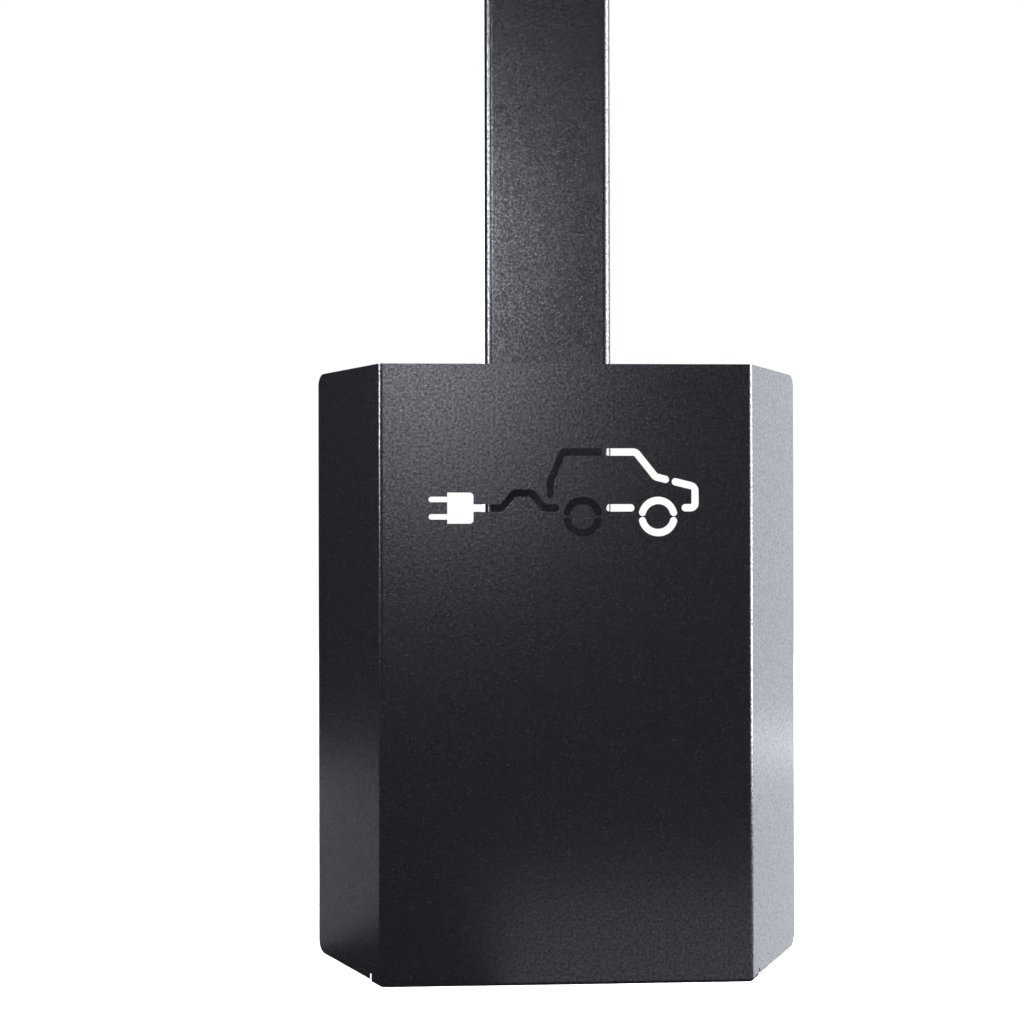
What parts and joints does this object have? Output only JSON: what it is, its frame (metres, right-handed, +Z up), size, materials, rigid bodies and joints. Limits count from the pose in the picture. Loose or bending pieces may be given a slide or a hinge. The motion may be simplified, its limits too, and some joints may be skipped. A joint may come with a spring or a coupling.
{
  "type": "ev charging post",
  "caption": "Square-column electric-vehicle charging post with a lidded outlet, a rear service door and a folded shield with a car pictogram in front of its cable drum.",
  "frame": {"origin": "centre of the four anchor holes, on the underside of the foot, which is on the column's axis", "axes": "+Z up the column, -Y towards the shield and the outlet, +X to the right of someone who faces them"},
  "size_m": [0.414, 0.395, 1.338],
  "materials": {
    "black_powder_coat": "fine-textured satin powder coat",
    "black_plastic": "fine-grained moulding",
    "dark_grey_plastic": "moulded",
    "black_rubber": "foamed and moulded rubber",
    "zinc_plate": "bright zinc plate",
    "stainless_steel": "fine machined",
    "brass": "machined",
    "silver_plate": "silver plate",
    "housing_grey": "moulded",
    "terminal_grey": "moulded",
    "terminal_blue": "moulded",
    "terminal_green": "moulded",
    "connector_green": "moulded",
    "clear_window": "clear polycarbonate",
    "frosted_lens": "frosted polycarbonate",
    "reader_black": "polished acrylic",
    "circuit_board": "solder mask",
    "brown_wire": "smooth insulation",
    "black_wire": "smooth insulation",
    "grey_wire": "smooth insulation",
    "blue_wire": "smooth insulation",
    "earth_wire": "smooth insulation, green and yellow",
    "signal_wire": "smooth insulation"
  },
  "bodies": {
    "post": {"base_gussets": "black_powder_coat", "base_plate": "black_powder_coat", "breaker": "housing_grey", "charge_controller": "housing_grey", "column": "black_powder_coat", "contactor": "housing_grey", "controller_connectors": "connector_green", "din_rails": "zinc_plate", "drum_back_plate": "black_powder_coat", "drum_disc_screws": "stainless_steel", "drum_front_disc": "black_powder_coat", "drum_plate_screws": "stainless_steel", "drum_rivet_nuts": "zinc_plate", "drum_shell": "black_powder_coat", "earth_lug": "silver_plate", "earth_terminal_block": "terminal_green", "earth_wires": "earth_wire", "end_stops": "dark_grey_plastic", "energy_meter": "housing_grey", "hinge_column_leaves": "black_powder_coat", "hinge_column_screws": "stainless_steel", "hinge_pins": "stainless_steel", "hinge_washers": "brass", "latch_actuator": "dark_grey_plastic", "lid_pin": "stainless_steel", "lid_spring": "stainless_steel", "light_board": "circuit_board", "meter_window": "clear_window", "neutral_terminal_block": "terminal_blue", "neutral_wires": "blue_wire", "outlet_body": "black_plastic", "outlet_carrier": "dark_grey_plastic", "outlet_contacts": "silver_plate", "outlet_gasket": "black_rubber", "outlet_screws": "stainless_steel", "outlet_terminal_block": "dark_grey_plastic", "phase_1_wires": "brown_wire", "phase_2_wires": "black_wire", "phase_3_wires": "grey_wire", "phase_terminal_blocks": "terminal_grey", "reader_board": "circuit_board", "reader_window": "reader_black", "shield": "black_powder_coat", "shield_nuts": "zinc_plate", "shield_studs": "zinc_plate", "signal_wires": "signal_wire", "status_lens": "frosted_lens", "stud_nuts": "zinc_plate", "top_cap": "black_plastic", "weld_studs": "zinc_plate"},
    "door": {"service_door": "black_powder_coat", "door_gasket": "black_rubber", "hinge_door_leaves": "black_powder_coat", "hinge_door_screws": "stainless_steel", "lock_housing": "zinc_plate"},
    "lock": {"lock_core": "zinc_plate"},
    "lid": {"outlet_lid": "black_plastic", "outlet_lid_seal": "black_rubber"},
    "latch": {"latch_pin": "stainless_steel"},
    "toggle": {"breaker_toggle": "black_plastic"}
  },
  "joints": [
    {"name": "door_hinge", "type": "hinge", "parent": "post", "child": "door", "pos_m": [-0.058, 0.066, 0.87], "axis": [0, 0, 1], "range_deg": [0, 110]},
    {"name": "lock_turn", "type": "hinge", "parent": "door", "child": "lock", "pos_m": [0.03, 0.06, 0.87], "axis": [0, -1, 0], "range_deg": [0, 90]},
    {"name": "lid_hinge", "type": "hinge", "parent": "post", "child": "lid", "pos_m": [0, -0.074, 1.194], "axis": [-1, 0, 0], "range_deg": [0, 105], "stiffness_Nm_per_rad": 0.02, "springref_deg": -28.65},
    {"name": "latch_slide", "type": "slide", "parent": "post", "child": "latch", "axis": [0, 0, -1], "range_m": [0, 0.005]},
    {"name": "toggle_rock", "type": "hinge", "parent": "post", "child": "toggle", "pos_m": [0, 0.008, 0.73], "axis": [-1, 0, 0], "range_deg": [0, 60]}
  ]
}
